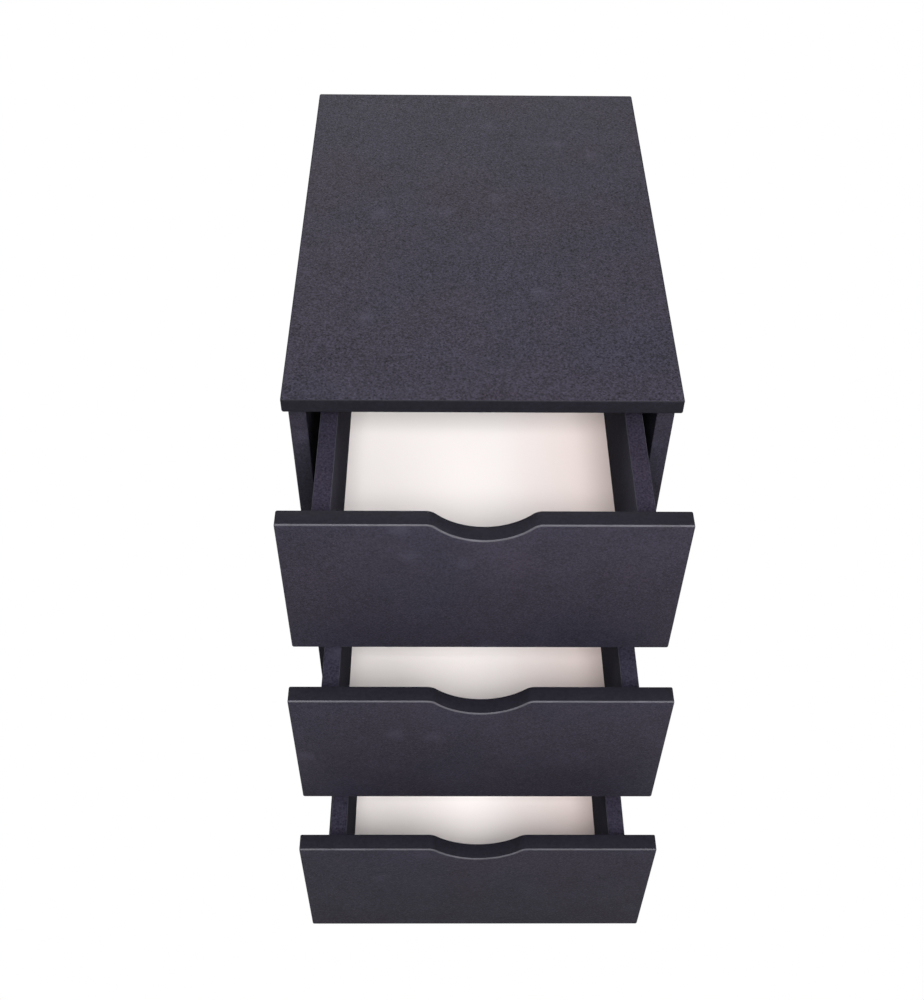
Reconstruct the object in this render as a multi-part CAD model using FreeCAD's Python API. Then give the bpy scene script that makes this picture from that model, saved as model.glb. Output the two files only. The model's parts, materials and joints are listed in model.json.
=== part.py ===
import FreeCAD, Part
import math
import os

Vector = FreeCAD.Vector
os.makedirs("parts", exist_ok=True)

# A three-drawer bedside table in wrapped particle board, in millimetres.
# X runs to the right, Y to the back and Z up. The origin is on the floor, under the
# middle of the top panel. Drawers are drawn closed and then pulled out by DRAWERS.

# Carcass
WIDTH = 354.0
DEPTH = 500.0
HEIGHT = 550.0
BOARD = 16.0
TOP_OVERHANG = 3.0
EDGE_ROUND = 1.0
TOP_ROUND = 2.0
BUFFER_GAP = 1.0
BACK_THICK = 3.0
BACK_LAP = 7.5
RABBET_WIDTH = 8.0
RABBET_DEPTH = 3.2
RAIL_HEIGHT = 70.0

# Drawers: name, and how far each one stands open
DRAWERS = [("top", 127.5), ("middle", 184.0), ("bottom", 239.0)]
FRONT_WIDTH = 345.0
FRONT_HEIGHT = 172.0
FRONT_GAP = 3.0
FRONT_CORNER = 2.0
FRONT_ROUND = 1.2
FRONT_BACK_ROUND = 0.6
BOX_DROP = 14.5
BOX_HEIGHT = 120.0
BOX_LENGTH = 450.0
RUNNER_SPACE = 13.0
INNER_DEPTH = 107.5
FLOOR_THICK = 3.0
FLOOR_GROOVE = 5.0
GROOVE_PLAY = 0.2

# Finger notch in the top edge of each front
NOTCH_WIDTH = 97.0
NOTCH_DEPTH = 20.0
NOTCH_SHOULDER = 12.0

# Roller runners, in bent steel sheet
SHEET = 1.2
RUNNER_LENGTH = 450.0
CHANNEL_HEIGHT = 20.5
CHANNEL_WIDTH = 10.6
CHANNEL_RISE = 6.0
LIP_WIDTH = 12.0
FLANGE_WIDTH = 10.6
MOUTH_LENGTH = 34.0
FLANGE_LIFT = 18.6
ROLLER_WIDTH = 7.5
FRONT_ROLLER_RADIUS = 9.0
REAR_ROLLER_RADIUS = 10.0
ROLLER_PLAY = 0.3
ROLLER_SPACER = 0.5
REAR_ROLLER_PLAY = 0.25
PIN_RADIUS = 2.5
BORE_PLAY = 0.05
RIVET_RADIUS = 2.0
PIN_HEAD_RADIUS = 3.75
PIN_HEAD_THICK = 0.7
FRONT_ROLLER_INSET = 15.0
REAR_ROLLER_INSET = 12.0
STOP_HEIGHT = 4.0
TRAVEL = 345.0

# Fasteners
DOWEL_RADIUS = 4.0
DOWEL_LENGTH = 30.0
DOWEL_SHORT_END = 10.0
CAM_RADIUS = 7.5
CAM_DEPTH = 12.5
CAM_SETBACK = 24.0
BOLT_RADIUS = 3.5
BOLT_CLEARANCE = 0.25
BOLT_THREAD_RADIUS = 2.5
BOLT_THREAD_LENGTH = 11.0
BOLT_HEAD_RADIUS = 3.3
NAIL_RADIUS = 0.9
NAIL_LENGTH = 18.0
NAIL_HEAD_RADIUS = 2.6
NAIL_HEAD_THICK = 0.8

# Derived places
SIDE_OUTER = WIDTH / 2 - TOP_OVERHANG
SIDE_INNER = SIDE_OUTER - BOARD
FRONT_FACE = -DEPTH / 2
CARCASS_FRONT = FRONT_FACE + BOARD + BUFFER_GAP
CARCASS_BACK = DEPTH / 2
INNER_BACK = CARCASS_BACK - RABBET_DEPTH
UNDER_TOP = HEIGHT - BOARD
BOX_OUTER = SIDE_INNER - RUNNER_SPACE
BOX_INNER = BOX_OUTER - BOARD
BOX_FRONT = FRONT_FACE + BOARD
BOX_BACK = BOX_FRONT + BOX_LENGTH
PITCH = FRONT_HEIGHT + FRONT_GAP

X_AXIS = Vector(1, 0, 0)
Y_AXIS = Vector(0, 1, 0)
Z_AXIS = Vector(0, 0, 1)


def save(node, *solids):
    """Write one node as a STEP file; several solids make one group."""
    shape = solids[0] if len(solids) == 1 else Part.makeCompound(list(solids))
    if not shape.isValid():
        raise ValueError(node + " is not a valid shape")
    shape.exportStep(os.path.join("parts", node + ".step"))


def block(x, y, z):
    """A plain box from three (low, high) pairs."""
    size = [high - low for low, high in (x, y, z)]
    return Part.makeBox(*size, Vector(x[0], y[0], z[0]))


def board(x, y, z, radius=EDGE_ROUND):
    """A box with every edge rounded."""
    solid = block(x, y, z)
    return solid.makeFillet(radius, solid.Edges)


def rod(radius, start, axis, length):
    return Part.makeCylinder(radius, length, start, axis)


def fused(*solids):
    """One solid out of several that touch."""
    return solids[0].multiFuse(list(solids[1:])).removeSplitter()


def mirrored(solid):
    """The same piece on the left side."""
    return solid.mirror(Vector(0, 0, 0), X_AXIS)


def both_sides(solids):
    return solids + [mirrored(solid) for solid in solids]


# --- Fasteners ---------------------------------------------------------------------


def dowel(joint, axis):
    """A grooveless beech dowel with chamfered ends, mostly behind the joint face."""
    start = joint - axis * (DOWEL_LENGTH - DOWEL_SHORT_END)
    solid = rod(DOWEL_RADIUS, start, axis, DOWEL_LENGTH)
    ends = [edge for edge in solid.Edges if isinstance(edge.Curve, Part.Circle)]
    return solid.makeChamfer(1.0, ends)


def dowel_hole(joint, axis):
    start = joint - axis * (DOWEL_LENGTH - DOWEL_SHORT_END)
    return rod(DOWEL_RADIUS, start, axis, DOWEL_LENGTH)


def cam_bolt(joint, axis):
    """A bolt that screws past the joint face along axis and hooks into a cam."""
    head = rod(BOLT_HEAD_RADIUS, joint - axis * CAM_SETBACK, axis, 3.0)
    neck = rod(2.0, joint - axis * (CAM_SETBACK - 3.0), axis, 4.0)
    shank = rod(BOLT_RADIUS, joint - axis * (CAM_SETBACK - 7.0), axis, CAM_SETBACK - 7.0)
    thread = rod(BOLT_THREAD_RADIUS, joint, axis, BOLT_THREAD_LENGTH)
    return fused(head, neck, shank, thread)


def cam(joint, axis, mouth):
    """A cam disc that fills its bore from the mouth inwards, slotted for the bolt."""
    centre = joint - axis * CAM_SETBACK
    face = centre + mouth * (BOARD / 2)
    disc = rod(CAM_RADIUS, face, -mouth, CAM_DEPTH)
    channel = rod(BOLT_RADIUS + BOLT_CLEARANCE, centre - axis, axis, CAM_RADIUS + 2.0)
    across = axis.cross(mouth)
    recess = [
        drive_slot(face, mouth, across, 6.0, 1.4),
        drive_slot(face, mouth, axis, 6.0, 1.4),
    ]
    return disc.cut([channel] + recess)


def drive_slot(face, outward, along, length, width):
    """The box that cuts one arm of a cross recess into a fastener's face."""
    slot = Part.makeBox(length, width, 1.6, Vector(-length / 2, -width / 2, -1.5))
    turn = FreeCAD.Rotation(along, outward.cross(along), outward, "XYZ")
    slot.Placement = FreeCAD.Placement(face, turn)
    return slot


def cam_holes(joint, axis, mouth):
    """What a cam joint takes out of both boards."""
    centre = joint - axis * CAM_SETBACK
    bore = rod(CAM_RADIUS, centre + mouth * (BOARD / 2), -mouth, CAM_DEPTH)
    channel = rod(BOLT_RADIUS + BOLT_CLEARANCE, centre, axis, CAM_SETBACK)
    thread = rod(BOLT_THREAD_RADIUS, joint, axis, BOLT_THREAD_LENGTH)
    return [bore, channel, thread]


def screw(head_top, axis, length, radius, head_radius, head_thick):
    """A screw driven along axis: pan head, shank, point and cross recess."""
    head = rod(head_radius, head_top, axis, head_thick)
    shank = rod(radius, head_top + axis * head_thick, axis, length - 2 * radius)
    tip_start = head_top + axis * (head_thick + length - 2 * radius)
    tip = Part.makeCone(radius, 0.3, 2 * radius, tip_start, axis)
    across = Z_AXIS if abs(axis.z) < 0.5 else X_AXIS
    arm = head_radius * 1.1
    slots = [
        drive_slot(head_top, -axis, across, arm, 0.8),
        drive_slot(head_top, -axis, axis.cross(across), arm, 0.8),
    ]
    solid = fused(head, shank, tip)
    deep = head_thick > 1.5
    return solid.cut(slots) if deep else solid


def screw_hole(head_top, axis, length, radius, head_thick):
    """The pilot hole that a screw fills."""
    start = head_top + axis * head_thick
    return rod(radius, start, axis, length)


# --- Carcass -----------------------------------------------------------------------


TOP_JOINT_Y = [-170.0, 190.0]
BASE_JOINT_Y = [-150.0, 170.0]
DOWEL_OFFSET = 32.0
RAIL_CAM_Z = UNDER_TOP - 20.0
RAIL_DOWEL_Z = UNDER_TOP - 52.0


def carcass_joints():
    """The right-hand joints: (cams, dowels) as joint point, axis and cam mouth."""
    side_mid = (SIDE_INNER + SIDE_OUTER) / 2
    rail_mid = INNER_BACK - BOARD / 2
    cams = []
    dowels = []
    for y in TOP_JOINT_Y:
        cams.append((Vector(side_mid, y, UNDER_TOP), Z_AXIS, -X_AXIS))
        dowels.append((Vector(side_mid, y + DOWEL_OFFSET, UNDER_TOP), Z_AXIS))
    for y in BASE_JOINT_Y:
        cams.append((Vector(SIDE_INNER, y, BOARD / 2), X_AXIS, -Z_AXIS))
        dowels.append((Vector(SIDE_INNER, y + DOWEL_OFFSET, BOARD / 2), X_AXIS))
    cams.append((Vector(SIDE_INNER, rail_mid, RAIL_CAM_Z), X_AXIS, Y_AXIS))
    dowels.append((Vector(SIDE_INNER, rail_mid, RAIL_DOWEL_Z), X_AXIS))
    return cams, dowels


def nail_places():
    """Nails around the edge of the back panel."""
    side_x = (SIDE_INNER + SIDE_OUTER) / 2 - 4.5
    places = [(side * side_x, 40.0 + 112.0 * step) for side in (-1, 1) for step in range(5)]
    for z in (BOARD / 2, UNDER_TOP - 35.0):
        places += [(x, z) for x in (-75.0, 75.0)]
    return places


def nail(x, z):
    head = rod(NAIL_HEAD_RADIUS, Vector(x, CARCASS_BACK, z), -Y_AXIS, NAIL_HEAD_THICK)
    body = rod(NAIL_RADIUS, Vector(x, CARCASS_BACK, z), -Y_AXIS, NAIL_LENGTH)
    return fused(head, body)


def make_carcass(side_holes):
    cams, dowels = carcass_joints()
    holes = []
    for joint in cams:
        holes += cam_holes(*joint)
    for joint in dowels:
        holes.append(dowel_hole(*joint))
    nails = [nail(x, z) for x, z in nail_places()]
    right_and_left = both_sides(holes)
    depth = (CARCASS_FRONT, CARCASS_BACK)
    top = board((-WIDTH / 2, WIDTH / 2), (FRONT_FACE, CARCASS_BACK), (UNDER_TOP, HEIGHT), TOP_ROUND)
    save("top_panel", top.cut(right_and_left))
    side = board((SIDE_INNER, SIDE_OUTER), depth, (0, UNDER_TOP))
    rabbet_x = (SIDE_INNER - 1, SIDE_INNER + RABBET_WIDTH)
    rabbet = block(rabbet_x, (INNER_BACK, CARCASS_BACK + 1), (-1, HEIGHT))
    side = side.cut([rabbet] + holes + side_holes)
    save("side_panel_right", side.cut(nails))
    save("side_panel_left", mirrored(side).cut(nails))
    inside = (-SIDE_INNER, SIDE_INNER)
    base = board(inside, (CARCASS_FRONT, INNER_BACK), (0, BOARD), 0.6)
    save("base_panel", base.cut(right_and_left + nails))
    rail = block(inside, (INNER_BACK - BOARD, INNER_BACK), (UNDER_TOP - RAIL_HEIGHT, UNDER_TOP))
    save("back_rail", rail.cut(right_and_left + nails))
    lap = SIDE_INNER + BACK_LAP
    back = block((-lap, lap), (CARCASS_BACK - BACK_THICK, CARCASS_BACK), (1.0, UNDER_TOP - 0.5))
    save("back_panel", back.cut(nails))
    save("back_panel_nails", *nails)
    fittings = []
    for joint, axis, mouth in cams:
        fittings += [cam(joint, axis, mouth), cam_bolt(joint, axis)]
    save("cabinet_cam_fittings", *both_sides(fittings))
    save("cabinet_dowels", *both_sides([dowel(*joint) for joint in dowels]))


# --- Runners and rollers -----------------------------------------------------------


def runner_base(box_bottom):
    """Height of the track that the drawer's rear roller runs on."""
    return box_bottom + CHANNEL_RISE


def cabinet_runner(track):
    """A C-shaped channel on the right side panel, open above its front roller."""
    web = (SIDE_INNER - SHEET, SIDE_INNER)
    flange = (SIDE_INNER - CHANNEL_WIDTH, SIDE_INNER)
    length = (CARCASS_FRONT, CARCASS_FRONT + RUNNER_LENGTH)
    ceiling = track + CHANNEL_HEIGHT
    upright = block(web, length, (track - SHEET, ceiling + SHEET))
    lower = block(flange, length, (track - SHEET, track))
    upper = block(flange, (CARCASS_FRONT + MOUTH_LENGTH, length[1]), (ceiling, ceiling + SHEET))
    rear_stop = block(flange, (length[1] - SHEET, length[1]), (track, ceiling))
    catch_y = BOX_BACK - REAR_ROLLER_INSET - REAR_ROLLER_RADIUS - TRAVEL - 2.0
    catch = block(flange, (catch_y - SHEET, catch_y), (track, track + STOP_HEIGHT))
    profile = fused(upright, lower, upper, rear_stop, catch)
    rivet = rod(RIVET_RADIUS, front_roller_centre(track, SIDE_INNER), -X_AXIS, SHEET)
    return profile.cut([rivet] + runner_screw_holes(track))


def front_roller_centre(track, x):
    height = track + ROLLER_PLAY + FRONT_ROLLER_RADIUS
    return Vector(x, CARCASS_FRONT + FRONT_ROLLER_INSET, height)


def rear_roller_centre(track, x):
    height = track + REAR_ROLLER_PLAY + REAR_ROLLER_RADIUS
    return Vector(x, BOX_BACK - REAR_ROLLER_INSET, height)


RUNNER_SCREW_Y = [60.0, 220.0, 400.0]
RUNNER_SCREW_LENGTH = 12.0
RUNNER_SCREW_RADIUS = 2.0
RUNNER_SCREW_HEAD = (4.0, 0.9)


def runner_screw_heads(track):
    x = SIDE_INNER - SHEET - RUNNER_SCREW_HEAD[1]
    height = track + CHANNEL_HEIGHT / 2
    return [Vector(x, CARCASS_FRONT + y, height) for y in RUNNER_SCREW_Y]


def runner_screws(track):
    sizes = (RUNNER_SCREW_LENGTH, RUNNER_SCREW_RADIUS) + RUNNER_SCREW_HEAD
    return [screw(head, X_AXIS, *sizes) for head in runner_screw_heads(track)]


def runner_screw_holes(track):
    sizes = (RUNNER_SCREW_LENGTH, RUNNER_SCREW_RADIUS, RUNNER_SCREW_HEAD[1])
    return [screw_hole(head, X_AXIS, *sizes) for head in runner_screw_heads(track)]


def drawer_runner(box_bottom):
    """A Z-shaped profile: lip under the drawer side, web beside it, flange outwards."""
    track = runner_base(box_bottom)
    flange_top = track + FLANGE_LIFT + SHEET
    rear = rear_roller_centre(track, BOX_OUTER)
    length = (BOX_FRONT, BOX_FRONT + RUNNER_LENGTH)
    web = block((BOX_OUTER, BOX_OUTER + SHEET), length, (box_bottom - SHEET, flange_top))
    lip = block((BOX_OUTER - LIP_WIDTH, BOX_OUTER + SHEET), length, (box_bottom - SHEET, box_bottom))
    flange_end = rear.y - REAR_ROLLER_RADIUS - 1.0
    flange = block(
        (BOX_OUTER, BOX_OUTER + FLANGE_WIDTH),
        (BOX_FRONT + 1.5, flange_end),
        (flange_top - SHEET, flange_top),
    )
    rivet = rod(RIVET_RADIUS, rear, X_AXIS, SHEET)
    holes = lip_screw_holes(box_bottom)
    return fused(web, lip, flange).cut([rivet] + holes)


LIP_SCREW_Y = [40.0, 230.0, 410.0]
LIP_SCREW_LENGTH = 14.0
LIP_SCREW_RADIUS = 1.75
LIP_SCREW_HEAD = (3.3, 1.6)


def lip_screw_heads(box_bottom):
    x = BOX_OUTER - LIP_WIDTH / 2
    z = box_bottom - SHEET - LIP_SCREW_HEAD[1]
    return [Vector(x, BOX_FRONT + y, z) for y in LIP_SCREW_Y]


def lip_screw_holes(box_bottom):
    sizes = (LIP_SCREW_LENGTH, LIP_SCREW_RADIUS, LIP_SCREW_HEAD[1])
    return [screw_hole(head, Z_AXIS, *sizes) for head in lip_screw_heads(box_bottom)]


def lip_screws(box_bottom):
    sizes = (LIP_SCREW_LENGTH, LIP_SCREW_RADIUS) + LIP_SCREW_HEAD
    return [screw(head, Z_AXIS, *sizes) for head in lip_screw_heads(box_bottom)]


def roller(centre, axis, radius):
    """A nylon roller with a bore, rounded rims and a shallow dish in its outer face."""
    body = rod(radius, centre, axis, ROLLER_WIDTH)
    rims = [edge for edge in body.Edges if isinstance(edge.Curve, Part.Circle)]
    body = body.makeFillet(0.6, rims)
    bore = rod(PIN_RADIUS + BORE_PLAY, centre, axis, ROLLER_WIDTH)
    dish = rod(radius - 2.5, centre + axis * (ROLLER_WIDTH - 1.0), axis, 1.0)
    hub = rod(PIN_HEAD_RADIUS, centre + axis * (ROLLER_WIDTH - 1.0), axis, 1.0)
    return body.cut(dish.cut(hub)).cut(bore)


def roller_pin(face, axis):
    """A shouldered rivet from a sheet face, with a head that keeps the roller on."""
    reach = ROLLER_SPACER + ROLLER_WIDTH + ROLLER_PLAY
    rivet = rod(RIVET_RADIUS, face - axis * SHEET, axis, SHEET)
    shaft = rod(PIN_RADIUS, face, axis, reach)
    head = rod(PIN_HEAD_RADIUS, face + axis * reach, axis, PIN_HEAD_THICK)
    return fused(rivet, shaft, head)


# --- Drawers -----------------------------------------------------------------------


def notch_outline(top):
    """The front's top edge from right to left: two round shoulders and a round dip."""
    half = NOTCH_WIDTH / 2
    reach = (half ** 2 / NOTCH_DEPTH + NOTCH_DEPTH) / 2
    radius = reach - NOTCH_SHOULDER
    centre_z = radius - NOTCH_DEPTH
    lean = math.atan2(half, centre_z + NOTCH_SHOULDER)
    touch_x = radius * math.sin(lean)
    touch_z = centre_z - radius * math.cos(lean)
    mid_x = half - NOTCH_SHOULDER * math.sin(lean / 2)
    mid_z = NOTCH_SHOULDER * (math.cos(lean / 2) - 1)
    right = [(half, 0.0), (mid_x, mid_z), (touch_x, touch_z)]
    left = [(-x, z) for x, z in reversed(right)]
    arcs = [right, [right[-1], (0.0, -NOTCH_DEPTH), left[0]], left]
    return [[Vector(x, FRONT_FACE, top + z) for x, z in arc] for arc in arcs]


def drawer_front(top):
    """A slab with the finger notch, eased all round its face."""
    half = FRONT_WIDTH / 2
    arcs = notch_outline(top)
    corners = [
        Vector(half, FRONT_FACE, top),
        Vector(half, FRONT_FACE, top - FRONT_HEIGHT),
        Vector(-half, FRONT_FACE, top - FRONT_HEIGHT),
        Vector(-half, FRONT_FACE, top),
    ]
    edges = [Part.Arc(*arc).toShape() for arc in arcs]
    edges.append(Part.makeLine(arcs[-1][-1], corners[3]))
    edges += [Part.makeLine(corners[i], corners[i - 1]) for i in (3, 2, 1)]
    edges.append(Part.makeLine(corners[0], arcs[0][0]))
    slab = Part.Face(Part.Wire(edges)).extrude(Y_AXIS * BOARD)
    slab = slab.makeFillet(FRONT_CORNER, [edge for edge in slab.Edges if is_corner(edge)])
    rim = [edge for edge in slab.Edges if edge.BoundBox.YMax < FRONT_FACE + 0.01]
    slab = slab.makeFillet(FRONT_ROUND, rim)
    back_face = FRONT_FACE + BOARD - 0.01
    rear = [edge for edge in slab.Edges if edge.BoundBox.YMin > back_face]
    return slab.makeFillet(FRONT_BACK_ROUND, rear)


def is_corner(edge):
    """True for the four corner edges of the slab, not those beside the notch."""
    box = edge.BoundBox
    through = box.YLength > BOARD / 2
    return through and abs(box.Center.x) > NOTCH_WIDTH


def drawer_joints(side_top):
    """Right-hand joints of the front: (cams, dowels)."""
    x = BOX_OUTER - BOARD / 2
    cams = [(Vector(x, BOX_FRONT, side_top - 60.0), -Y_AXIS, X_AXIS)]
    dowels = [(Vector(x, BOX_FRONT, side_top - drop), -Y_AXIS) for drop in (28.0, 88.0)]
    return cams, dowels


BOX_SCREW_DROPS = [30.0, 90.0]
BOX_SCREW_LENGTH = 36.0
BOX_SCREW_RADIUS = 2.0
BOX_SCREW_HEAD = (3.8, 2.0)


def box_screw_heads(side_top):
    y = BOX_BACK - BOARD / 2
    return [Vector(BOX_OUTER, y, side_top - drop) for drop in BOX_SCREW_DROPS]


def box_screws(side_top):
    """Screws through the drawer side into the end of the back board, sunk flush."""
    sizes = (BOX_SCREW_LENGTH, BOX_SCREW_RADIUS) + BOX_SCREW_HEAD
    return [screw(head, -X_AXIS, *sizes) for head in box_screw_heads(side_top)]


def box_screw_holes(side_top):
    sizes = (BOX_SCREW_LENGTH, BOX_SCREW_RADIUS, BOX_SCREW_HEAD[1])
    heads = box_screw_heads(side_top)
    pilots = [screw_hole(head, -X_AXIS, *sizes) for head in heads]
    return pilots + [rod(BOX_SCREW_HEAD[0], head, -X_AXIS, BOX_SCREW_HEAD[1]) for head in heads]


def make_drawer(name, opening, top):
    """All pieces of one drawer, pulled out by its opening."""
    side_top = top - BOX_DROP
    box_bottom = side_top - BOX_HEIGHT
    track = runner_base(box_bottom)
    cams, dowels = drawer_joints(side_top)
    holes = box_screw_holes(side_top) + lip_screw_holes(box_bottom)
    for joint in cams:
        holes += cam_holes(*joint)
    for joint in dowels:
        holes.append(dowel_hole(*joint))
    fittings = box_screws(side_top) + lip_screws(box_bottom)
    for joint, axis, mouth in cams:
        fittings += [cam(joint, axis, mouth), cam_bolt(joint, axis)]
    floor_top = side_top - INNER_DEPTH
    groove_reach = BOX_INNER + FLOOR_GROOVE
    back_face = BOX_BACK - BOARD
    groove = block(
        (-groove_reach - GROOVE_PLAY, groove_reach + GROOVE_PLAY),
        (BOX_FRONT - FLOOR_GROOVE - GROOVE_PLAY, back_face + FLOOR_GROOVE + GROOVE_PLAY),
        (floor_top - FLOOR_THICK, floor_top),
    )
    side = board((BOX_INNER, BOX_OUTER), (BOX_FRONT, BOX_BACK), (box_bottom, side_top))
    back = board((-BOX_INNER, BOX_INNER), (back_face, BOX_BACK), (box_bottom, side_top))
    floor = block(
        (-groove_reach, groove_reach),
        (BOX_FRONT - FLOOR_GROOVE, back_face + FLOOR_GROOVE),
        (floor_top - FLOOR_THICK, floor_top),
    )
    side = side.cut(holes + [groove])
    runner = drawer_runner(box_bottom)
    web_face = BOX_OUTER + SHEET
    wheel_centre = rear_roller_centre(track, web_face + ROLLER_SPACER)
    wheel = roller(wheel_centre, X_AXIS, REAR_ROLLER_RADIUS)
    pin = roller_pin(rear_roller_centre(track, web_face), X_AXIS)
    pieces = {
        "front": [drawer_front(top).cut(both_sides(holes) + [groove])],
        "side_right": [side],
        "side_left": [mirrored(side)],
        "back": [back.cut(both_sides(holes) + [groove])],
        "floor": [floor],
        "runner_right": [runner],
        "runner_left": [mirrored(runner)],
        "fittings": both_sides(fittings),
        "dowels": both_sides([dowel(*joint) for joint in dowels]),
        "roller_pins": both_sides([pin]),
        "roller_right": [wheel],
        "roller_left": [mirrored(wheel)],
    }
    out = Vector(0, -opening, 0)
    for piece, solids in pieces.items():
        save("drawer_" + name + "_" + piece, *[solid.translated(out) for solid in solids])


def make_cabinet_runners(tracks):
    """The channels, screws, pins and front rollers fixed inside the side panels."""
    screws = []
    pins = []
    for name, track in tracks.items():
        runner = cabinet_runner(track)
        save("cabinet_runner_" + name + "_right", runner)
        save("cabinet_runner_" + name + "_left", mirrored(runner))
        screws += runner_screws(track)
        web_face = SIDE_INNER - SHEET
        wheel_centre = front_roller_centre(track, web_face - ROLLER_SPACER)
        wheel = roller(wheel_centre, -X_AXIS, FRONT_ROLLER_RADIUS)
        save("cabinet_roller_" + name + "_right", wheel)
        save("cabinet_roller_" + name + "_left", mirrored(wheel))
        pins.append(roller_pin(front_roller_centre(track, web_face), -X_AXIS))
    save("cabinet_runner_screws", *both_sides(screws))
    save("cabinet_roller_pins", *both_sides(pins))


first_top = UNDER_TOP - FRONT_GAP
front_tops = {name: first_top - PITCH * order for order, (name, _) in enumerate(DRAWERS)}
tracks = {}
for name, top in front_tops.items():
    tracks[name] = runner_base(top - BOX_DROP - BOX_HEIGHT)
side_holes = []
for track in tracks.values():
    side_holes += runner_screw_holes(track)
make_carcass(side_holes)
make_cabinet_runners(tracks)
for name, opening in DRAWERS:
    make_drawer(name, opening, front_tops[name])
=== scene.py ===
import json
import math

import bmesh
import bpy
from bpy.props import FloatProperty, FloatVectorProperty, PointerProperty
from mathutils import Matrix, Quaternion, Vector

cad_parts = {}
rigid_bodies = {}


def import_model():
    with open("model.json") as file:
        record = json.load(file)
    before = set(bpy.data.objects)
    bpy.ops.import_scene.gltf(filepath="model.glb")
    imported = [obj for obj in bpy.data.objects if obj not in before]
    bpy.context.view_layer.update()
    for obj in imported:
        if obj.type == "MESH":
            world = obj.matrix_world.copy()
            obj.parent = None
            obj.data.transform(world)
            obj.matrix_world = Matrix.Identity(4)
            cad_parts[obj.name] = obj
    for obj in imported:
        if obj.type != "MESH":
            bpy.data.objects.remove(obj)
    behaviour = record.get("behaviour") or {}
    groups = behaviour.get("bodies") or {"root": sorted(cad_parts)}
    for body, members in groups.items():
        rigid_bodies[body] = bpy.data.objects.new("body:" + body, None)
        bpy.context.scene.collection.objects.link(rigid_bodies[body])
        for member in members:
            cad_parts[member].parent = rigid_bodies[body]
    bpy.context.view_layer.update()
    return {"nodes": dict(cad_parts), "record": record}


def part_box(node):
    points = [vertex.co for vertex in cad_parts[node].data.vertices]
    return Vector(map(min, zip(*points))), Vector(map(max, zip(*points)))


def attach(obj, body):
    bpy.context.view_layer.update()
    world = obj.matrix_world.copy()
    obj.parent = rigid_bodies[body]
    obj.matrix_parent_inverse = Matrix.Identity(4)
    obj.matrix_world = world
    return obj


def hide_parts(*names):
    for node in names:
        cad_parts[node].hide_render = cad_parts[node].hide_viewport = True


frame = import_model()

bl_info = {
    "name": "Nightstand with drawers",
    "version": (1, 0, 0),
    "blender": (4, 5, 0),
    "location": "3D View > Sidebar > Nightstand",
    "description": "Builds a nightstand's finishes, drawer fronts, lights and camera",
    "category": "Object",
}

NODES = frame["nodes"]
WHITE = (1.0, 1.0, 1.0, 1.0)
DRAWERS = ("top", "middle", "bottom")

TOP_LOW, TOP_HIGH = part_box("top_panel")
TOP_FRONT_EDGE = Vector(((TOP_LOW.x + TOP_HIGH.x) / 2, TOP_LOW.y, TOP_HIGH.z))

# The finish of a carried-over piece, by its slot in the record
SLOT_FINISHES = {
    "dark_foil": "charcoal_foil",
    "white_hardboard": "white_lacquer",
    "dark_hardboard": "dark_hardboard",
    "runner_steel": "runner_powder_coat",
    "white_nylon": "roller_nylon",
    "zinc_steel": "zinc_plate",
    "beech": "beech",
}

# How far a strip's finish reaches round the edge onto a board's foiled face
STRIP_LIP = 0.0006

# How near counts as the same place, how far the notch's cutter stands proud, and how near
# two of its points are merged
NEAR = 0.00005
PROUD = 0.00001
MERGE = 0.000001

# Facets of a front's notch, corners and rims
SHOULDER_STEPS = 10
DIP_STEPS = 28
CORNER_STEPS = 4
FACE_STEPS = 3
BACK_STEPS = 2
SMOOTH_ANGLE = math.radians(25)

# How a front's facets are told apart, by the share of their normal along Y or Z, and how far
# below the notch the lighter top-rim line may reach, which is partly rubbed wear and partly a painted
# highlight
BROAD = 0.999
NARROW = 0.7
EDGE_ON = 0.05
UPWARD = 0.15
RUB_AND_HIGHLIGHT_SPARE = 0.002

# Softboxes: place from the point they aim at, width, and the setting that holds their power
AIM_HEIGHT_SHARE = 0.7
SOFTBOXES = {
    "key_softbox": (Vector((0.08, -1.20, 1.09)), 0.75, "key_power"),
    "top_softbox": (Vector((0.15, -1.05, 2.25)), 1.4, "top_power"),
    "back_softbox": (Vector((-0.10, 2.20, 1.15)), 1.8, "back_power"),
    "right_softbox": (Vector((2.30, 0.30, 0.90)), 1.6, "side_power"),
    "left_softbox": (Vector((-2.30, 0.30, 0.90)), 1.6, "side_power"),
}
FLOOR_WIDTH = 30.0
FLOOR_DROP = 0.0005


# --- Settings ----------------------------------------------------------------------


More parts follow.
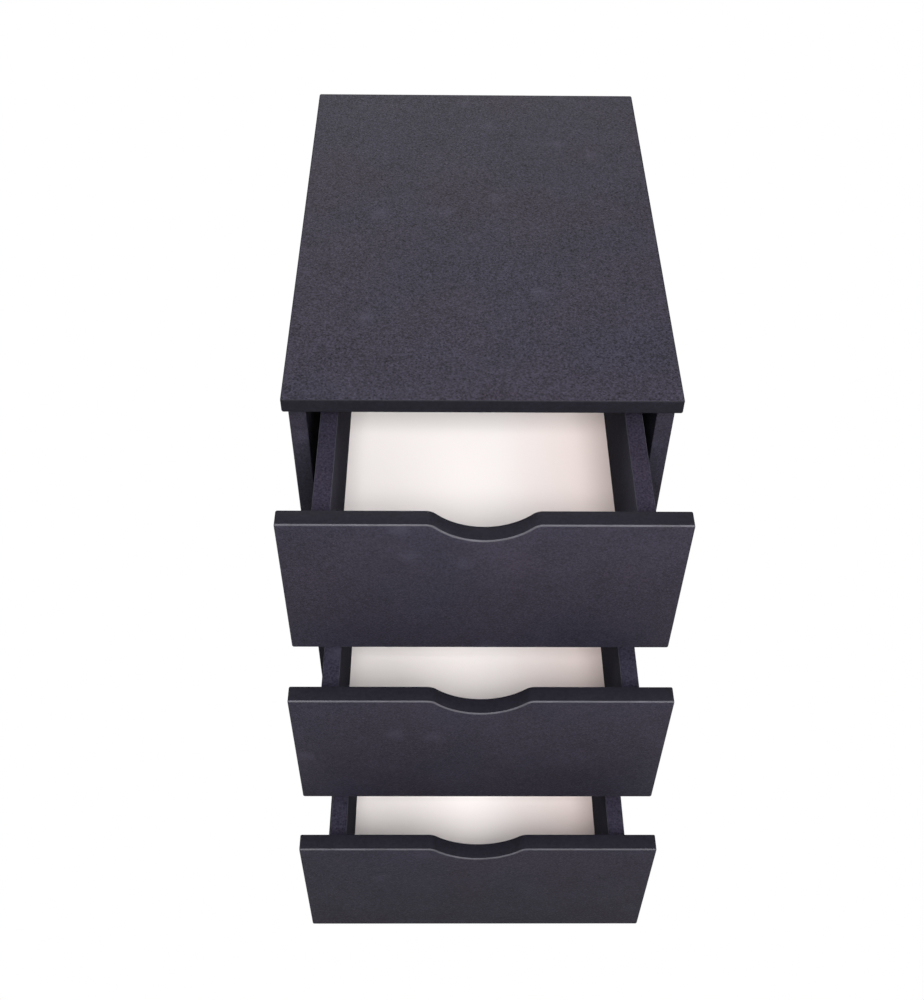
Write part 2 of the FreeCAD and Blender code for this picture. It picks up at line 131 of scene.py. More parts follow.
class NightstandFoil(bpy.types.PropertyGroup):
    """The charcoal foil on every board."""

    colour: FloatVectorProperty(
        name="Foil colour",
        description="Colour of the foil on the broad faces",
        default=(0.0173, 0.0154, 0.0239),
        min=0.0,
        max=1.0,
        subtype="COLOR",
    )
    band_colour: FloatVectorProperty(
        name="Edge band colour",
        description="Colour of the smooth strip glued round the boards' edges",
        default=(0.0089, 0.0082, 0.0121),
        min=0.0,
        max=1.0,
        subtype="COLOR",
    )
    lining_colour: FloatVectorProperty(
        name="Lining colour",
        description="Colour of the dark smooth faces inside the drawers",
        default=(0.0330, 0.0315, 0.0400),
        min=0.0,
        max=1.0,
        subtype="COLOR",
    )
    # This colour is the lighter line along the top rim of each front's face: partly rubbed wear, partly a
    # painted highlight.
    rub_and_highlight_colour: FloatVectorProperty(
        name="Rubbed colour",
        description="Colour of the scraped corner between a front's face and its edge band",
        default=(0.070, 0.067, 0.079),
        min=0.0,
        max=1.0,
        subtype="COLOR",
    )
    grain_size: FloatProperty(
        name="Grain size",
        description="Width of one pebble of the foil's leather grain",
        default=0.0020,
        min=0.0001,
        unit="LENGTH",
        subtype="DISTANCE",
    )
    dust_size: FloatProperty(
        name="Mottle size",
        description="Size of the foil's fine light and dark mottle",
        default=0.0019,
        min=0.0001,
        unit="LENGTH",
        subtype="DISTANCE",
    )
    dust_depth: FloatProperty(
        name="Mottle depth",
        description="Strength of the foil's fine mottle",
        default=3.6,
        min=0.0,
    )
    grain_height: FloatProperty(
        name="Grain height",
        description="Height of the leather grain",
        default=0.00016,
        min=0.0,
        unit="LENGTH",
        subtype="DISTANCE",
    )


class NightstandFronts(bpy.types.PropertyGroup):
    """The shape of the drawer fronts."""

    notch_depth: FloatProperty(
        name="Notch depth",
        description="How far the finger notch dips below the front's top edge",
        default=0.020,
        min=0.0,
        unit="LENGTH",
        subtype="DISTANCE",
    )
    notch_width: FloatProperty(
        name="Notch width",
        description="Width of the notch between the points where its shoulders start",
        default=0.097,
        min=0.0,
        unit="LENGTH",
        subtype="DISTANCE",
    )
    shoulder_radius: FloatProperty(
        name="Shoulder radius",
        description="Radius of the notch's two rounded shoulders",
        default=0.012,
        min=0.0,
        unit="LENGTH",
        subtype="DISTANCE",
    )
    corner_radius: FloatProperty(
        name="Corner radius",
        description="Radius of the four outer corners of a front",
        default=0.002,
        min=0.0,
        unit="LENGTH",
        subtype="DISTANCE",
    )
    face_round: FloatProperty(
        name="Face rounding",
        description="Width of the rounding between a front's face and its edges",
        default=0.0012,
        min=0.0,
        unit="LENGTH",
        subtype="DISTANCE",
    )


class NightstandStage(bpy.types.PropertyGroup):
    """Camera and light."""

    lens: FloatProperty(
        name="Lens",
        description="Focal length of the camera",
        default=45.54,
        min=10.0,
        unit="CAMERA",
    )
    camera_place: FloatVectorProperty(
        name="Camera place",
        description="From the middle of the top panel's front edge to the camera",
        default=(-0.0304, -0.7986, 0.7647),
        unit="LENGTH",
        subtype="TRANSLATION",
    )
    pitch: FloatProperty(
        name="Pitch",
        description="How far the camera looks down",
        default=math.radians(48.267),
        unit="ROTATION",
        subtype="ANGLE",
    )
    yaw: FloatProperty(
        name="Yaw",
        description="How far the camera is turned to its left",
        default=math.radians(-0.970),
        unit="ROTATION",
        subtype="ANGLE",
    )
    roll: FloatProperty(
        name="Roll",
        description="How far the camera leans",
        default=math.radians(0.902),
        unit="ROTATION",
        subtype="ANGLE",
    )
    world_light: FloatProperty(
        name="Room light",
        description="Strength of the even light from all round",
        default=0.21,
        min=0.0,
    )
    floor_bounce: FloatProperty(
        name="Floor bounce",
        description="How much of its light the floor throws back on the object",
        default=0.18,
        min=0.0,
        max=1.0,
        subtype="FACTOR",
    )
    key_power: FloatProperty(
        name="Key power",
        description="Power of the softbox behind the camera",
        default=49.5,
        min=0.0,
        unit="POWER",
    )
    top_power: FloatProperty(
        name="Top power",
        description="Power of the large softbox high up in front",
        default=20.0,
        min=0.0,
        unit="POWER",
    )
    back_power: FloatProperty(
        name="Back power",
        description="Power of the softbox behind the object",
        default=26.0,
        min=0.0,
        unit="POWER",
    )
    side_power: FloatProperty(
        name="Side power",
        description="Power of each of the two softboxes at the object's sides",
        default=45.0,
        min=0.0,
        unit="POWER",
    )


# --- Shader node helpers -----------------------------------------------------------


def make_group(name, inputs, outputs):
    """An empty shader node group with named sockets; returns it with its two ends."""
    group = bpy.data.node_groups.new(name, "ShaderNodeTree")
    for label, kind, default in inputs:
        socket = group.interface.new_socket(name=label, in_out="INPUT", socket_type=kind)
        if default is not None:
            socket.default_value = default
    for label, kind in outputs:
        group.interface.new_socket(name=label, in_out="OUTPUT", socket_type=kind)
    start = group.nodes.new("NodeGroupInput")
    end = group.nodes.new("NodeGroupOutput")
    return group, start.outputs, end.inputs


def feed(tree, socket, value):
    """Give an input a number, or link another node's output to it."""
    if isinstance(value, bpy.types.NodeSocket):
        tree.links.new(value, socket)
    else:
        socket.default_value = value


def add_node(tree, kind, settings=None, **inputs):
    """A node with its settings and its inputs, by name or, as i0 and i1, by number."""
    node = tree.nodes.new(kind)
    for key, value in (settings or {}).items():
        setattr(node, key, value)
    for key, value in inputs.items():
        numbered = key[0] == "i" and key[1:].isdigit()
        feed(tree, node.inputs[int(key[1:]) if numbered else key.replace("_", " ")], value)
    return node


def math_node(tree, operation, first, second):
    settings = {"operation": operation}
    return add_node(tree, "ShaderNodeMath", settings, i0=first, i1=second).outputs["Value"]


def vector_node(tree, operation, first, second=(0.0, 0.0, 0.0)):
    settings = {"operation": operation}
    return add_node(tree, "ShaderNodeVectorMath", settings, i0=first, i1=second).outputs["Vector"]


def scaled(tree, vector, factor):
    """A vector or colour times a number."""
    settings = {"operation": "SCALE"}
    return add_node(tree, "ShaderNodeVectorMath", settings, i0=vector, Scale=factor).outputs["Vector"]


def noise(tree, place, scale, detail, roughness=0.5):
    """The outputs of a noise texture: Fac and Color."""
    return add_node(
        tree, "ShaderNodeTexNoise", Vector=place, Scale=scale, Detail=detail, Roughness=roughness
    ).outputs


def stretched_noise(tree, place, scale, detail):
    """Noise drawn out along the axes where its scale is smallest."""
    stretch = add_node(tree, "ShaderNodeMapping", Vector=place, Scale=scale)
    return noise(tree, stretch.outputs["Vector"], 1.0, detail)["Fac"]


def blend_colours(tree, factor, first, second):
    """Mix two colours; the Mix node's colour sockets are its seventh and eighth."""
    node = tree.nodes.new("ShaderNodeMix")
    node.data_type = "RGBA"
    feed(tree, node.inputs[0], factor)
    feed(tree, node.inputs[6], first)
    feed(tree, node.inputs[7], second)
    return node.outputs[2]


def span(tree, value, low, high, out_low=0.0, out_high=1.0):
    """Map a range of values onto another, with the ends held."""
    node = tree.nodes.new("ShaderNodeMapRange")
    tree.links.new(value, node.inputs["Value"])
    node.inputs["From Min"].default_value = low
    node.inputs["From Max"].default_value = high
    node.inputs["To Min"].default_value = out_low
    node.inputs["To Max"].default_value = out_high
    return node.outputs["Result"]


def rgba(colour, factor=1.0):
    return (*(channel * factor for channel in colour), 1.0)


def leather_grain_group():
    """Pebbles and pores of the foil: a height and a mask of the pebbles' crowns."""
    group, given, out = make_group(
        "Leather grain",
        [("Vector", "NodeSocketVector", None), ("Size", "NodeSocketFloat", 0.001)],
        [("Height", "NodeSocketFloat"), ("Crowns", "NodeSocketFloat")],
    )
    scale = math_node(group, "DIVIDE", 1.0, given["Size"])
    warp = noise(group, given["Vector"], scale, 1.0)["Color"]
    nudge = scaled(group, warp, math_node(group, "MULTIPLY", given["Size"], 0.9))
    place = vector_node(group, "ADD", given["Vector"], nudge)
    cells = add_node(
        group, "ShaderNodeTexVoronoi", {"feature": "SMOOTH_F1"}, Vector=place, Scale=scale, Smoothness=0.35
    )
    swell = noise(group, given["Vector"], math_node(group, "MULTIPLY", scale, 0.31), 2.0)["Fac"]
    pebble = span(group, cells.outputs["Distance"], 0.0, 0.75, 1.0, 0.0)
    height = math_node(group, "ADD", pebble, math_node(group, "MULTIPLY", swell, 0.8))
    group.links.new(height, out["Height"])
    group.links.new(span(group, height, 0.75, 1.35), out["Crowns"])


def mottle_group():
    """Clouds and fine dust as one brightness factor, with masks of the tint and of pale specks."""
    group, given, out = make_group(
        "Mottle",
        [
            ("Vector", "NodeSocketVector", None),
            ("Cloud size", "NodeSocketFloat", 0.05),
            ("Cloud depth", "NodeSocketFloat", 0.15),
            ("Dust size", "NodeSocketFloat", 0.002),
            ("Dust depth", "NodeSocketFloat", 0.15),
        ],
        [("Brightness", "NodeSocketFloat"), ("Tint", "NodeSocketFloat"), ("Specks", "NodeSocketFloat")],
    )
    place = given["Vector"]
    brightness = 1.0
    for kind, detail in (("Cloud", 4.0), ("Dust", 2.0)):
        scale = math_node(group, "DIVIDE", 1.0, given[kind + " size"])
        step = math_node(group, "SUBTRACT", noise(group, place, scale, detail, 0.6)["Fac"], 0.5)
        part = math_node(group, "MULTIPLY", step, given[kind + " depth"])
        brightness = math_node(group, "ADD", part, brightness)
    tint = noise(group, place, 9.0, 2.0)["Fac"]
    ragged = vector_node(group, "ADD", place, scaled(group, noise(group, place, 110.0, 2.0)["Color"], 0.014))
    spots = add_node(group, "ShaderNodeTexVoronoi", {"feature": "F1"}, Vector=ragged, Scale=16.0)
    group.links.new(brightness, out["Brightness"])
    group.links.new(span(group, tint, 0.35, 0.65), out["Tint"])
    group.links.new(span(group, spots.outputs["Distance"], 0.20, 0.04), out["Specks"])


def smudge_group():
    """Slow smears and fine scuffs, as two masks."""
    group, given, out = make_group(
        "Smudges",
        [("Vector", "NodeSocketVector", None), ("Scale", "NodeSocketFloat", 12.0)],
        [("Smear", "NodeSocketFloat"), ("Scuff", "NodeSocketFloat")],
    )
    smear = noise(group, given["Vector"], given["Scale"], 3.0)["Fac"]
    scuff = stretched_noise(group, given["Vector"], (260.0, 14.0, 60.0), 2.0)
    group.links.new(span(group, smear, 0.3, 0.7), out["Smear"])
    group.links.new(span(group, scuff, 0.55, 0.75), out["Scuff"])


def edge_strip_group():
    """0 inside a board's foiled face and 1 past its reach; the same on both sides of the object."""
    group, given, out = make_group(
        "Edge strip",
        [
            ("Vector", "NodeSocketVector", None),
            ("Centre", "NodeSocketVector", (0.0, 0.0, 0.0)),
            ("Reach", "NodeSocketVector", (1.0, 1.0, 1.0)),
        ],
        [("Strip", "NodeSocketFloat")],
    )
    folded = vector_node(group, "ABSOLUTE", given["Vector"])
    off = vector_node(group, "ABSOLUTE", vector_node(group, "SUBTRACT", folded, given["Centre"]))
    past_reach = vector_node(group, "SUBTRACT", off, given["Reach"])
    past = add_node(group, "ShaderNodeSeparateXYZ", Vector=past_reach)
    widest = math_node(group, "MAXIMUM", past.outputs["X"], past.outputs["Y"])
    group.links.new(math_node(group, "GREATER_THAN", widest, 0.0), out["Strip"])


def place_group(tree, name, **inputs):
    """One of the shader groups above, placed in a material's tree; returns its outputs."""
    return add_node(tree, "ShaderNodeGroup", {"node_tree": bpy.data.node_groups[name]}, **inputs).outputs


def new_material(name, roughness=0.5, specular=0.5):
    """A material; returns its tree, its Principled shader and the Object coordinates."""
    material = bpy.data.materials.new(name)
    material.use_nodes = True
    tree = material.node_tree
    shader = tree.nodes["Principled BSDF"]
    shader.inputs["Specular IOR Level"].default_value = specular
    shader.inputs["Roughness"].default_value = roughness
    return tree, shader, tree.nodes.new("ShaderNodeTexCoord").outputs["Object"]


def dress(tree, shader, colour, height, distance, roughness=None):
    """Feed a shader its colour, its relief and, where it varies, its roughness."""
    tree.links.new(colour, shader.inputs["Base Color"])
    if roughness:
        tree.links.new(roughness, shader.inputs["Roughness"])
    if height:
        bump = add_node(tree, "ShaderNodeBump", Height=height, Distance=distance, Strength=1.0)
        tree.links.new(bump.outputs["Normal"], shader.inputs["Normal"])


# --- Finishes ----------------------------------------------------------------------


def foil_colour(tree, place, crowns, settings, dust_share):
    """Cloudy charcoal with a fine mottle, a painted highlight on the pebbles' crowns and a few pale specks.
    """
    red, green, blue = settings.colour
    mottle = place_group(
        tree, "Mottle", Vector=place, Cloud_size=0.045, Cloud_depth=0.55,
        Dust_size=settings.dust_size, Dust_depth=settings.dust_depth * dust_share,
    )
    warm = rgba((red * 1.06, green * 0.98, blue))
    cool = rgba((red * 0.96, green, blue * 1.03))
    cloudy = scaled(tree, blend_colours(tree, mottle["Tint"], warm, cool), mottle["Brightness"])
    pale = rgba(settings.colour, 2.2)
    # Painted highlight: the raised crowns of the grain's pebbles are lightened towards pale.
    crown_highlighted = blend_colours(tree, math_node(tree, "MULTIPLY", crowns, 0.20), cloudy, pale)
    return blend_colours(tree, math_node(tree, "MULTIPLY", mottle["Specks"], 0.40), crown_highlighted, pale)


def foil_material(name, settings, specular, dust_share, face=None, strip_colour=None):
    """Foil with a leather grain; face is the centre and reach of the foiled face on a board
    whose other faces carry a smooth strip."""
    tree, shader, place = new_material(name, specular=specular)
    grain = place_group(tree, "Leather grain", Vector=place, Size=settings.grain_size)
    colour = foil_colour(tree, place, grain["Crowns"], settings, dust_share)
    height = grain["Height"]
    if face:
        centre, reach = face
        mask = place_group(tree, "Edge strip", Vector=place, Centre=centre, Reach=reach)["Strip"]
        colour = blend_colours(tree, mask, colour, strip_tone(tree, place, strip_colour))
        height = math_node(tree, "MULTIPLY", height, math_node(tree, "SUBTRACT", 1.0, mask))
    roughness = span(tree, grain["Crowns"], 0.0, 1.0, 0.62, 0.48)
    dress(tree, shader, colour, height, settings.grain_height, roughness)


def strip_tone(tree, place, plain):
    """A smooth strip's colour, slightly uneven."""
    mottle = place_group(
        tree, "Mottle", Vector=place, Cloud_size=0.02, Cloud_depth=0.30, Dust_size=0.003, Dust_depth=0.8
    )
    return scaled(tree, tuple(plain), mottle["Brightness"])


def band_material(settings):
    """The smooth, darker strip glued round the edges."""
    tree, shader, place = new_material("edge_band", specular=0.05)
    smudge = place_group(tree, "Smudges", Vector=place, Scale=22.0)
    roughness = span(tree, smudge["Smear"], 0.0, 1.0, 0.48, 0.60)
    tone = strip_tone(tree, place, settings.band_colour)
    dress(tree, shader, tone, smudge["Scuff"], 0.00003, roughness)


def rub_and_highlight_material(settings):
    """The lighter line along the top rim of a front's face: partly rubbed wear showing the foil's pale
    backing, partly a painted highlight.
    """
    tree, shader, place = new_material("rubbed_corner", roughness=0.6, specular=0.1)
    smear = place_group(tree, "Smudges", Vector=place, Scale=60.0)["Smear"]
    colour = blend_colours(tree, smear, rgba(settings.rub_and_highlight_colour, 0.72), rgba(settings.rub_and_highlight_colour))
    dress(tree, shader, colour, smear, 0.00004)


def white_material():
    """White lacquer on the drawer floors, with painted shade that makes it darker and warmer towards the
    right, and a soft orange peel.
    """
    tree, shader, place = new_material("white_lacquer", roughness=0.55, specular=0.25)
    smear = place_group(tree, "Smudges", Vector=place, Scale=5.0)["Smear"]
    across = add_node(tree, "ShaderNodeSeparateXYZ", Vector=place).outputs["X"]
    # Painted shade: the lacquer's colour turns darker and warmer towards the right, across the floor.
    painted_right_shade = span(tree, across, 0.02, 0.13)
    base = blend_colours(tree, painted_right_shade, (0.885, 0.832, 0.816, 1.0), (0.85, 0.703, 0.662, 1.0))
    worn = math_node(tree, "MULTIPLY", smear, 0.25)
    colour = blend_colours(tree, worn, base, (0.875, 0.822, 0.805, 1.0))
    dress(tree, shader, colour, noise(tree, place, 420.0, 1.0)["Fac"], 0.00003)


def fibre_material(name, specular, scale, dark, light, rough_low, rough_high, relief):
    """Bare wood or board: drawn-out fibres in two tones."""
    tree, shader, place = new_material(name, specular=specular)
    fibre = stretched_noise(tree, place, scale, 4.0)
    roughness = span(tree, fibre, 0.3, 0.7, rough_low, rough_high)
    dress(tree, shader, blend_colours(tree, fibre, rgba(dark), rgba(light)), fibre, relief, roughness)


def hardboard_material():
    """Plain dark hardboard, slightly fibrous."""
    dark, light = (0.028, 0.026, 0.032), (0.052, 0.048, 0.058)
    fibre_material("dark_hardboard", 0.3, (180.0, 180.0, 40.0), dark, light, 0.6, 0.8, 0.00008)


def beech_material():
    """Bare beech with its short flecks."""
    dark, light = (0.50, 0.32, 0.17), (0.68, 0.49, 0.30)
    fibre_material("beech", 0.3, (700.0, 700.0, 150.0), dark, light, 0.5, 0.7, 0.00005)


def runner_material():
    """Black powder coat on rolled steel."""
    tree, shader, place = new_material("runner_powder_coat", specular=0.4)
    smudge = place_group(tree, "Smudges", Vector=place, Scale=30.0)
    colour = blend_colours(tree, smudge["Scuff"], (0.012, 0.012, 0.013, 1.0), (0.030, 0.030, 0.032, 1.0))
    roughness = span(tree, smudge["Smear"], 0.0, 1.0, 0.38, 0.52)
    dress(tree, shader, colour, noise(tree, place, 1400.0, 2.0)["Fac"], 0.00004, roughness)


def nylon_material():
    """Milky nylon with a faint moulded bloom."""
    tree, shader, place = new_material("roller_nylon", specular=0.45)
    shader.inputs["Subsurface Weight"].default_value = 0.15
    shader.inputs["Subsurface Radius"].default_value = (0.002, 0.0018, 0.0014)
    smear = place_group(tree, "Smudges", Vector=place, Scale=160.0)["Smear"]
    colour = blend_colours(tree, smear, (0.70, 0.68, 0.62, 1.0), (0.80, 0.79, 0.74, 1.0))
    dress(tree, shader, colour, None, None, span(tree, smear, 0.0, 1.0, 0.35, 0.5))


def zinc_material():
    """Zinc plate with drawn lines and dull patches."""
    tree, shader, place = new_material("zinc_plate")
    shader.inputs["Metallic"].default_value = 1.0
    smudge = place_group(tree, "Smudges", Vector=place, Scale=90.0)
    colour = blend_colours(tree, smudge["Smear"], (0.50, 0.50, 0.48, 1.0), (0.66, 0.66, 0.63, 1.0))
    roughness = span(tree, smudge["Smear"], 0.0, 1.0, 0.25, 0.42)
    dress(tree, shader, colour, smudge["Scuff"], 0.00003, roughness)


def board_face(node, along=0.0):
    """Centre and reach of a board's foiled face, a strip's thickness inside its edges."""
    low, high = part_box(node)
    centre = (low + high) / 2
    half = (high - low) / 2
    return (abs(centre.x), abs(centre.y), 0.0), (half.x - STRIP_LIP, half.y - STRIP_LIP + along, 1.0)


def finish_for(node, slot):
    """The material of a carried-over piece, from its name or else its slot."""
    if node == "top_panel":
        return bpy.data.materials["top_panel_foil"]
    if node.startswith("drawer_") and "_side_" in node:
        return bpy.data.materials["drawer_side_foil"]
    return bpy.data.materials[SLOT_FINISHES[slot]]


# --- Modelling helpers -------------------------------------------------------------


def deselect_all():
    for item in bpy.data.objects:
        item.select_set(False)
    bpy.context.view_layer.objects.active = None


def make_active(item):
    deselect_all()
    item.select_set(True)
    bpy.context.view_layer.objects.active = item


def box_piece(name, low, high):
    """A cube primitive stretched between two corners, with its place in its mesh."""
    deselect_all()
    bpy.ops.mesh.primitive_cube_add(size=1.0, location=(low + high) / 2)
    piece = bpy.context.active_object
    piece.name = name
    piece.data.name = name
    piece.scale = high - low
    bpy.ops.object.transform_apply(location=True, rotation=True, scale=True)
    return piece


def edit_edges(piece, wanted):
    """Enter edit mode with just the edges selected that the test accepts."""
    make_active(piece)
    bpy.ops.object.mode_set(mode="EDIT")
    bpy.ops.mesh.select_mode(type="EDGE")
    bpy.ops.mesh.select_all(action="DESELECT")
    mesh = bmesh.from_edit_mesh(piece.data)
    for edge in mesh.edges:
        edge.select_set(wanted(edge))
    bmesh.update_edit_mesh(piece.data)


def leave_edit():
    bpy.ops.object.mode_set(mode="OBJECT")


def apply_modifier(piece, kind, **settings):
    make_active(piece)
    modifier = piece.modifiers.new(kind.title(), kind)
    for key, value in settings.items():
        setattr(modifier, key, value)
    bpy.ops.object.modifier_apply(modifier=modifier.name)


# --- Drawer fronts -----------------------------------------------------------------


def spin_edge(centre, angle, steps):
    """Sweep the selected edge about a line along Y; the far edge stays selected."""
    bpy.ops.mesh.spin(steps=steps, angle=angle, center=centre, axis=(0.0, -1.0, 0.0))


def keep_left_edge(cutter, left):
    """Reduce a plane in edit mode to its left edge, and leave that edge selected."""
    bpy.ops.mesh.select_mode(type="VERT")
    bpy.ops.mesh.select_all(action="DESELECT")
    mesh = bmesh.from_edit_mesh(cutter.data)
    for vert in mesh.verts:
        vert.select_set(vert.co.x > left + NEAR)
    bmesh.update_edit_mesh(cutter.data)
    bpy.ops.mesh.delete(type="VERT")
    bpy.ops.mesh.select_all(action="SELECT")


def cut_notch(front, low, high, shape):
    """Take the finger notch out of the front's top edge: a round dip between rounded shoulders.

    The dip and each shoulder touch where their centres are both radii apart."""
    half = shape.notch_width / 2
    depth = shape.notch_depth
    shoulder = shape.shoulder_radius
    both_radii = (half ** 2 / depth + depth) / 2
    lean = math.atan2(half, both_radii - depth)
    middle = (low.x + high.x) / 2
    lip = high.z + PROUD
    shoulder_height = lip - shoulder
    dip_height = lip - depth + both_radii - shoulder

    deselect_all()
    thickness = high.y - low.y
    bpy.ops.mesh.primitive_plane_add(size=2 * thickness, location=(middle, (low.y + high.y) / 2, lip))
    cutter = bpy.context.active_object
    bpy.ops.object.transform_apply(location=True, rotation=True, scale=True)
    left = middle - thickness
    bpy.ops.object.mode_set(mode="EDIT")
    keep_left_edge(cutter, left)
    bpy.ops.transform.translate(value=(middle - half - left, 0.0, 0.0))
    spin_edge((middle - half, 0.0, shoulder_height), lean, SHOULDER_STEPS)
    spin_edge((middle, 0.0, dip_height), -2 * lean, DIP_STEPS)
    spin_edge((middle + half, 0.0, shoulder_height), lean, SHOULDER_STEPS)
    bpy.ops.mesh.select_all(action="SELECT")
    bpy.ops.mesh.remove_doubles(threshold=MERGE)
    bpy.ops.mesh.extrude_region_move(TRANSFORM_OT_translate={"value": (0.0, 0.0, 2 * depth)})
    bpy.ops.mesh.select_all(action="SELECT")
    bpy.ops.mesh.normals_make_consistent(inside=False)
    leave_edit()
    apply_modifier(front, "BOOLEAN", operation="DIFFERENCE", object=cutter, solver="EXACT")
    bpy.data.objects.remove(cutter)


def bevel_selected(width, segments):
    bpy.ops.mesh.bevel(offset_type="OFFSET", offset=width, segments=segments, profile=0.5)
    leave_edit()


def round_corners(front, low, high, shape):
    """Round the four outer corners."""

    def is_corner(edge):
        first, second = (vert.co for vert in edge.verts)
        through = abs(first.y - second.y) > (high.y - low.y) / 2
        return through and abs(first.x) > high.x - NEAR

    edit_edges(front, is_corner)
    bevel_selected(shape.corner_radius, CORNER_STEPS)


def round_rim(front, y, width, segments):
    """Ease the whole rim of the front or back face, which lies at y."""

    def on_rim(edge):
        flat = all(abs(vert.co.y - y) < NEAR for vert in edge.verts)
        return flat and any(abs(face.normal.y) < NARROW for face in edge.link_faces)

    edit_edges(front, on_rim)
    bevel_selected(width, segments)


def assign_front_finishes(front, low, high, shape):
    """Foil on the broad faces, band on the narrow ones, and along the face's upward-facing top rim a lighter
    line that is partly rubbed wear and partly a painted highlight.
    """
    foil, band, rub_and_highlight_slot = range(3)
    for name in ("charcoal_foil", "edge_band", "rubbed_corner"):
        front.data.materials.append(bpy.data.materials[name])
    lowest_rub_and_highlight = high.z - shape.notch_depth - RUB_AND_HIGHLIGHT_SPARE
    for face in front.data.polygons:
        middle, facing = face.center, face.normal
        on_face_rim = middle.y < low.y + shape.face_round and EDGE_ON < abs(facing.y) < BROAD
        # Upward-facing rim facets get the lighter line: partly rubbed wear, partly a painted highlight.
        if on_face_rim and facing.z > UPWARD and middle.z > lowest_rub_and_highlight:
            face.material_index = rub_and_highlight_slot
        else:
            face.material_index = band if abs(facing.y) < NARROW else foil


def build_front(drawer, shape):
    """One drawer front with its finger notch, in place of the CAD slab."""
    node = "drawer_" + drawer + "_front"
    low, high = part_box(node)
    front = box_piece(node + "_board", low, high)
    cut_notch(front, low, high, shape)
    round_corners(front, low, high, shape)
    round_rim(front, low.y, shape.face_round, FACE_STEPS)
    round_rim(front, high.y, shape.face_round / 2, BACK_STEPS)
    assign_front_finishes(front, low, high, shape)
    make_active(front)
    bpy.ops.object.shade_smooth_by_angle(angle=SMOOTH_ANGLE)
    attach(front, "drawer_" + drawer)
    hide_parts(node)


# --- Operators ---------------------------------------------------------------------


class NIGHTSTAND_OT_finishes(bpy.types.Operator):
    """Build the shader groups and materials, and dress every carried-over piece"""

    bl_idname = "nightstand.finishes"
    bl_label = "Finishes"

    def execute(self, context):
        foil = context.scene.nightstand_foil
        leather_grain_group()
        mottle_group()
        smudge_group()
        edge_strip_group()
        top_face = board_face("top_panel")
        side_face = board_face("drawer_top_side_right", along=1.0)
        foil_material("charcoal_foil", foil, 0.22, 0.5)
        foil_material("top_panel_foil", foil, 0.12, 1.0, top_face, foil.band_colour)
        foil_material("drawer_side_foil", foil, 0.0, 0.6, side_face, foil.lining_colour)
        band_material(foil)
        rub_and_highlight_material(foil)
        white_material()
        hardboard_material()
        runner_material()
        nylon_material()
        zinc_material()
        beech_material()
        for entry in frame["record"]["subparts"]:
            node = NODES[entry["node"]]
            node.data.materials.clear()
            node.data.materials.append(finish_for(entry["node"], entry["material_slot"]))
        return {"FINISHED"}


class NIGHTSTAND_OT_fronts(bpy.types.Operator):
    """Model the three drawer fronts"""

    bl_idname = "nightstand.fronts"
    bl_label = "Drawer fronts"

    def execute(self, context):
        for drawer in DRAWERS:
            build_front(drawer, context.scene.nightstand_fronts)
        return {"FINISHED"}


class NIGHTSTAND_OT_stage(bpy.types.Operator):
    """Set the floor, the lights and the camera"""

    bl_idname = "nightstand.stage"
    bl_label = "Stage"

    def execute(self, context):
        settings = context.scene.nightstand_stage
        add_floor(settings)
        add_world(context.scene, settings)
        add_lights(context.scene, settings)
        add_camera(context.scene, settings)
        return {"FINISHED"}


def shown_or_lit(tree, shown, lit):
    """Mix two shaders: one for what is seen straight on, one for what lights the object."""
    path = tree.nodes.new("ShaderNodeLightPath")
    mix = tree.nodes.new("ShaderNodeMixShader")
    tree.links.new(path.outputs["Is Camera Ray"], mix.inputs["Fac"])
    tree.links.new(lit, mix.inputs[1])
    tree.links.new(shown, mix.inputs[2])
    return mix.outputs["Shader"]


def add_floor(settings):
    """A wide, plain white floor that throws little light back on the object."""
    deselect_all()
    bpy.ops.mesh.primitive_plane_add(size=FLOOR_WIDTH, location=(0.0, 0.0, -FLOOR_DROP))
    floor = bpy.context.active_object
    floor.name = "floor"
    bpy.ops.object.transform_apply(location=True, rotation=True, scale=True)
    tree, shader, _ = new_material("floor_white", roughness=0.9, specular=0.0)
    shader.inputs["Base Color"].default_value = rgba([settings.floor_bounce] * 3)
    white = add_node(tree, "ShaderNodeEmission", Color=WHITE, Strength=1.0)
    surface = shown_or_lit(tree, white.outputs[0], shader.outputs[0])
    tree.links.new(surface, tree.nodes["Material Output"].inputs["Surface"])
    floor.data.materials.append(bpy.data.materials["floor_white"])


def add_world(scene, settings):
    """White to the eye, dim grey as a light."""
    scene.world = bpy.data.worlds.new("studio_air")
    scene.world.use_nodes = True
    tree = scene.world.node_tree
    dim = tree.nodes["Background"]
    dim.inputs["Color"].default_value = WHITE
    dim.inputs["Strength"].default_value = settings.world_light
    white = add_node(tree, "ShaderNodeBackground", Color=WHITE, Strength=1.0)
    surface = shown_or_lit(tree, white.outputs[0], dim.outputs[0])
    tree.links.new(surface, tree.nodes["World Output"].inputs["Surface"])
    scene.view_settings.view_transform = "Standard"


def add_lights(scene, settings):
    """Softboxes behind the camera, high up in front, behind the object and at its two sides."""
    aim = Vector((0.0, TOP_LOW.y, TOP_HIGH.z * AIM_HEIGHT_SHARE))
    for name, (offset, width, power) in SOFTBOXES.items():
        data = bpy.data.lights.new(name, "AREA")
        data.shape = "SQUARE"
        data.size = width
        data.energy = getattr(settings, power)
        light = bpy.data.objects.new(name, data)
        scene.collection.objects.link(light)
        light.location = aim + offset
        light.rotation_euler = (-offset).to_track_quat("-Z", "Y").to_euler()
        light.visible_glossy = name != "top_softbox"


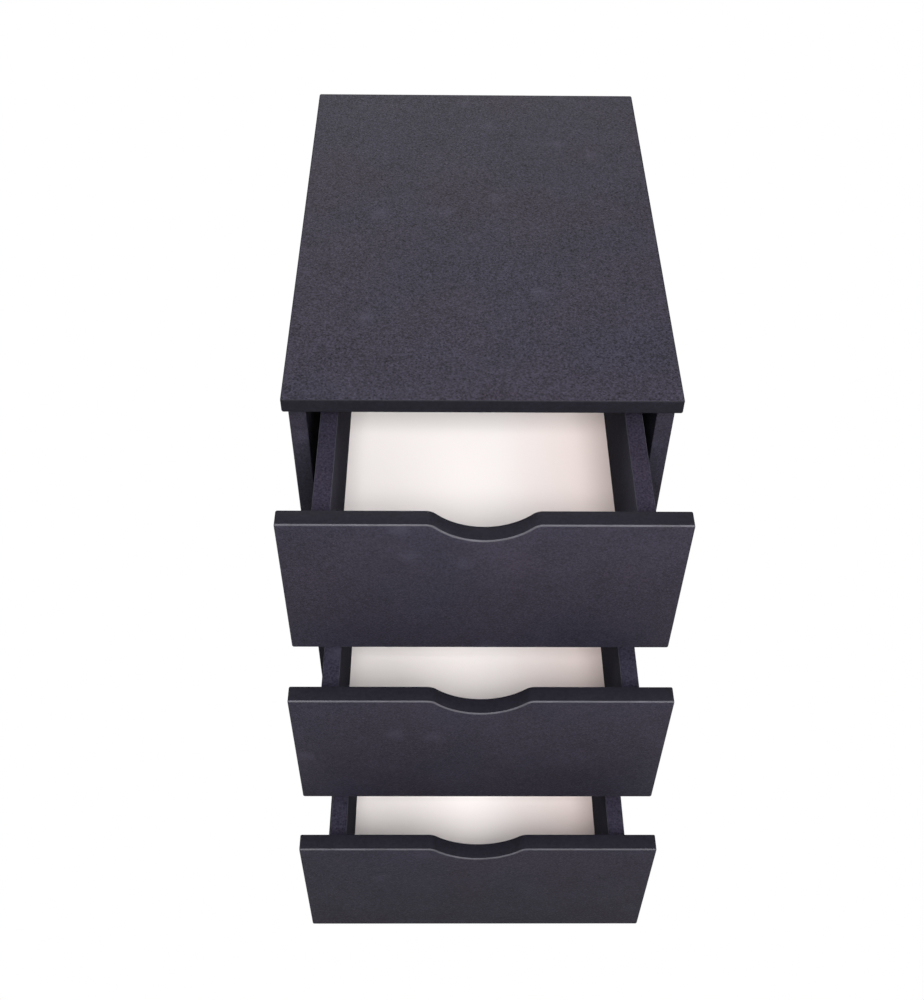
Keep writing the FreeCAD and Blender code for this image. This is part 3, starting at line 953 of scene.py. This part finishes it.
def add_camera(scene, settings):
    data = bpy.data.cameras.new("camera")
    data.lens = settings.lens
    data.dof.use_dof = False
    camera = bpy.data.objects.new("camera", data)
    scene.collection.objects.link(camera)
    camera.location = TOP_FRONT_EDGE + Vector(settings.camera_place)
    camera.rotation_mode = "QUATERNION"
    up = Vector((0.0, 0.0, 1.0))
    look = Vector((0.0, math.cos(settings.pitch), -math.sin(settings.pitch)))
    level = look.to_track_quat("-Z", "Y")
    camera.rotation_quaternion = Quaternion(up, settings.yaw) @ level @ Quaternion(up, settings.roll)
    scene.camera = camera


class NIGHTSTAND_PT_panel(bpy.types.Panel):
    """Sizes, colours and the steps of the build"""

    bl_label = "Nightstand"
    bl_idname = "NIGHTSTAND_PT_panel"
    bl_space_type = "VIEW_3D"
    bl_region_type = "UI"
    bl_category = "Nightstand"

    def draw(self, context):
        layout = self.layout
        scene = context.scene
        for group in (scene.nightstand_foil, scene.nightstand_fronts, scene.nightstand_stage):
            box = layout.box()
            for key in group.bl_rna.properties.keys():
                if key not in ("rna_type", "name"):
                    box.prop(group, key)
        for operator in (NIGHTSTAND_OT_finishes, NIGHTSTAND_OT_fronts, NIGHTSTAND_OT_stage):
            layout.operator(operator.bl_idname)


CLASSES = (
    NightstandFoil,
    NightstandFronts,
    NightstandStage,
    NIGHTSTAND_OT_finishes,
    NIGHTSTAND_OT_fronts,
    NIGHTSTAND_OT_stage,
    NIGHTSTAND_PT_panel,
)


def register():
    for cls in CLASSES:
        bpy.utils.register_class(cls)
    bpy.types.Scene.nightstand_foil = PointerProperty(type=NightstandFoil)
    bpy.types.Scene.nightstand_fronts = PointerProperty(type=NightstandFronts)
    bpy.types.Scene.nightstand_stage = PointerProperty(type=NightstandStage)


def unregister():
    del bpy.types.Scene.nightstand_stage
    del bpy.types.Scene.nightstand_fronts
    del bpy.types.Scene.nightstand_foil
    for cls in reversed(CLASSES):
        bpy.utils.unregister_class(cls)


def main():
    register()
    bpy.ops.nightstand.finishes()
    bpy.ops.nightstand.fronts()
    bpy.ops.nightstand.stage()


if __name__ == "__main__":
    main()
